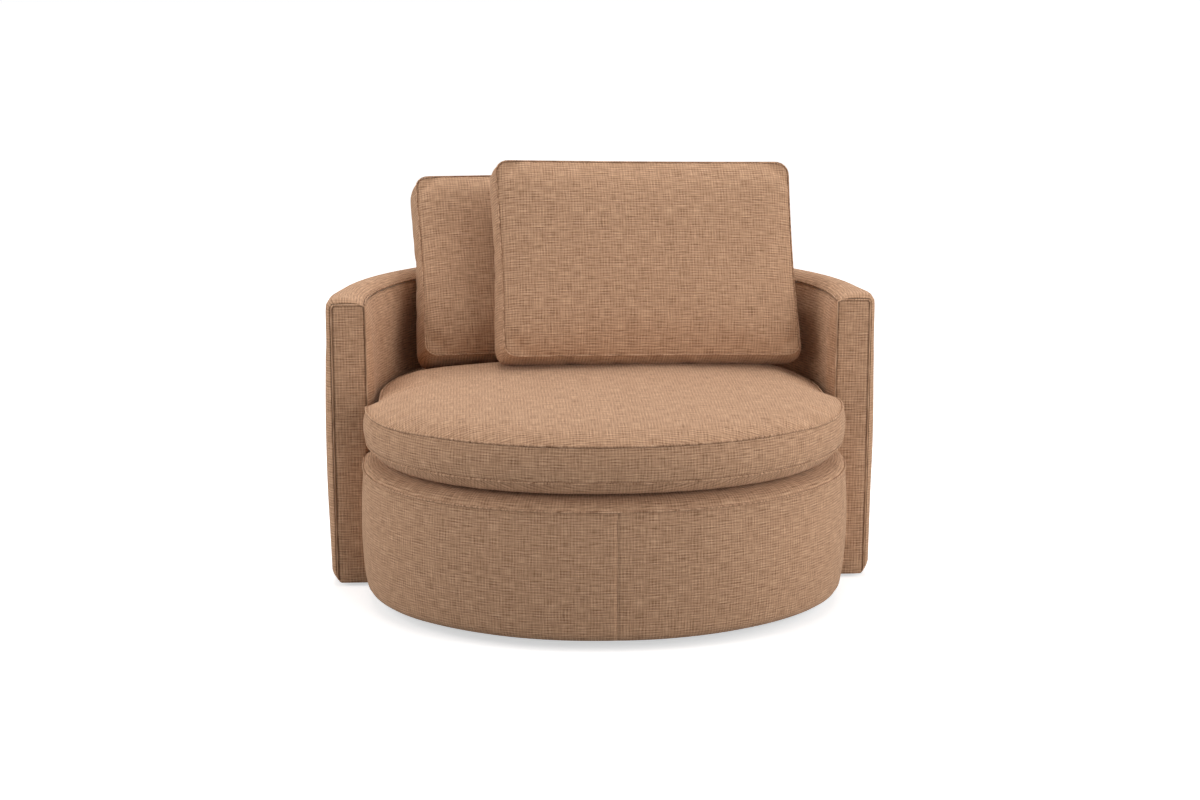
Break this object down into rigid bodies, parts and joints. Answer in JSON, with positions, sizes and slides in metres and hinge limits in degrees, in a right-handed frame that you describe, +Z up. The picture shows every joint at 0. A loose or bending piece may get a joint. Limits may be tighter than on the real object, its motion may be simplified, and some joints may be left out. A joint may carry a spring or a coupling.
{
  "type": "swivel cuddle chair",
  "caption": "Round-backed swivel cuddle chair: low upholstered tub, bulging drum front, one crowned seat cushion and loose boxed back cushions.",
  "frame": {"origin": "on the floor, on the swivel's axis, which is also the middle of the outline seen from above", "axes": "+Z up, the seat faces -Y, +X to the right of someone looking at the chair from the front"},
  "size_m": [1.202, 1.111, 0.919],
  "materials": {
    "cloth": "coarse woven, matt",
    "foam": "open foam and wadding",
    "dust_cloth": "thin woven, matt",
    "frame_wood": "raw ply and softwood",
    "hardboard": "raw hardboard",
    "steel": "zinc plated",
    "black_plastic": "matt"
  },
  "bodies": {
    "base": {"plinth": "black_plastic", "glide_1": "black_plastic", "glide_2": "black_plastic", "glide_3": "black_plastic", "glide_4": "black_plastic", "glide_5": "black_plastic", "glide_6": "black_plastic", "lower_swivel_plate": "steel", "ball_cage": "steel", "swivel_rivet": "steel"},
    "chair": {"upper_swivel_plate": "steel", "bottom_board": "frame_wood", "dust_cloth": "dust_cloth", "outer_liner": "hardboard", "inner_liner": "hardboard", "bottom_rail": "frame_wood", "top_rail": "frame_wood", "stud_1": "frame_wood", "stud_2": "frame_wood", "stud_3": "frame_wood", "stud_4": "frame_wood", "frame_panel_front": "frame_wood", "frame_panel_rear": "frame_wood", "frame_panel_left": "frame_wood", "frame_panel_right": "frame_wood", "spring_1": "steel", "spring_2": "steel", "spring_3": "steel", "spring_4": "steel", "tub_outer_cover": "cloth", "tub_inner_cover": "cloth", "tub_padding": "foam", "tub_welt": "cloth", "arm_panel_left": "cloth", "arm_panel_right": "cloth", "arm_pad_left": "foam", "arm_pad_right": "foam", "arm_board_left": "frame_wood", "arm_board_right": "frame_wood", "arm_welt_left": "cloth", "arm_welt_right": "cloth", "drum_panel_left": "cloth", "drum_panel_right": "cloth", "drum_pad": "foam", "front_board": "frame_wood", "drum_welt": "cloth", "deck_pad": "foam", "deck_cover": "cloth"},
    "seat_cushion": {"seat_cushion_cover": "cloth", "seat_cushion_zip": "black_plastic", "seat_cushion_filling": "foam"},
    "rear_cushion": {"rear_cushion_cover": "cloth", "rear_cushion_zip": "black_plastic", "rear_cushion_filling": "foam"},
    "front_cushion": {"front_cushion_cover": "cloth", "front_cushion_zip": "black_plastic", "front_cushion_filling": "foam"}
  },
  "joints": [
    {"name": "swivel", "type": "hinge", "parent": "base", "child": "chair", "pos_m": [0, 0, 0], "axis": [0, 0, 1], "continuous": true},
    {"name": "seat_cushion_lift", "type": "slide", "parent": "chair", "child": "seat_cushion", "axis": [0, 0, 1], "range_m": [0, 0.34]},
    {"name": "rear_cushion_lift", "type": "slide", "parent": "seat_cushion", "child": "rear_cushion", "axis": [-0.0515, 0.4195, 0.9063], "range_m": [0, 0.34]},
    {"name": "front_cushion_lift", "type": "slide", "parent": "seat_cushion", "child": "front_cushion", "axis": [-0.0417, 0.3395, 0.9397], "range_m": [0, 0.34]}
  ]
}
